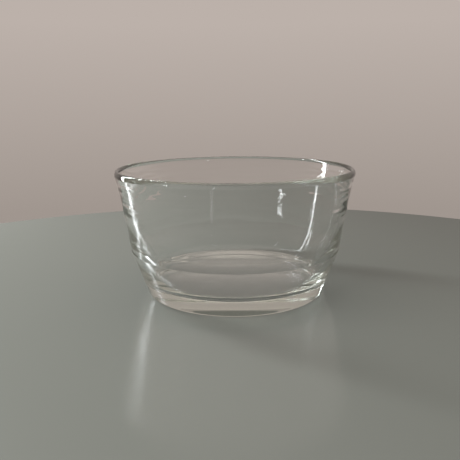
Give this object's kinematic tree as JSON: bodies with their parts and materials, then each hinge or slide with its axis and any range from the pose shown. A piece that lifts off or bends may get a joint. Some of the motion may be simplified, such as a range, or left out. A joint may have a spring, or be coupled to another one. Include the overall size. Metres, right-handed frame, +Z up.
{
  "type": "glass bowl",
  "caption": "Round clear glass serving bowl with gently flared sides, faint rings on the wall, a rounded lip and a thick base.",
  "frame": {"origin": "centre of the underside, in the plane of the flat ring that the bowl stands on", "axes": "+Z up along the bowl's axis; +X and +Y are any two square directions, because the bowl is round"},
  "size_m": [0.12, 0.12, 0.063],
  "materials": {
    "clear_glass": "clear soda-lime glass, moulded and fire-polished, with faint mould rings on the wall"
  },
  "bodies": {
    "root": {"bowl": "clear_glass"}
  },
  "joints": []
}
